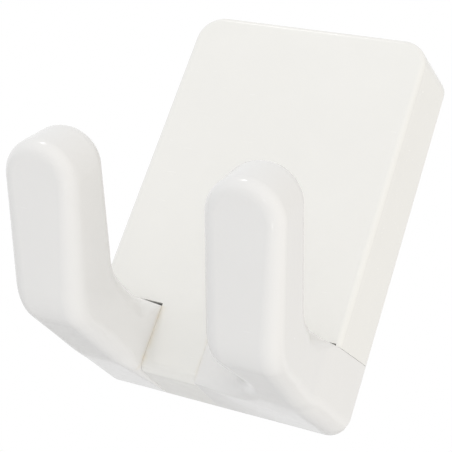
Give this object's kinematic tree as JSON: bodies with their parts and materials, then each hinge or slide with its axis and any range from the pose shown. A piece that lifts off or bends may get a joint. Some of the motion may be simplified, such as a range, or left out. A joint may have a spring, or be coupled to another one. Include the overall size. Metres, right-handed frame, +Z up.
{
  "type": "double coat hook",
  "caption": "Wall coat hook with thick upturned prongs on screwed feet, and a box-like cover that slides up off a back plate to reach its wall screws.",
  "frame": {"origin": "on the back plate's wall face, midway between the two wall screws", "axes": "+X to the right seen from the front, +Y into the wall, +Z up"},
  "size_m": [0.06, 0.1049, 0.0917],
  "materials": {
    "cover_plastic": "glossy white moulding",
    "hook_plastic": "glossy white moulding",
    "plate_plastic": "satin white moulding",
    "zinc_steel": "bright zinc plating"
  },
  "bodies": {
    "base": {"back_plate": "plate_plastic", "left_hook": "hook_plastic", "right_hook": "hook_plastic", "left_hook_screw_low": "zinc_steel", "left_hook_screw_high": "zinc_steel", "right_hook_screw_inner": "zinc_steel", "right_hook_screw_outer": "zinc_steel", "wall_screw_lower": "zinc_steel", "wall_screw_upper": "zinc_steel"},
    "cover": {"front_cover": "cover_plastic"}
  },
  "joints": [
    {"name": "cover_slide", "type": "slide", "parent": "base", "child": "cover", "axis": [0, 0, 1], "range_m": [0, 0.012]}
  ]
}
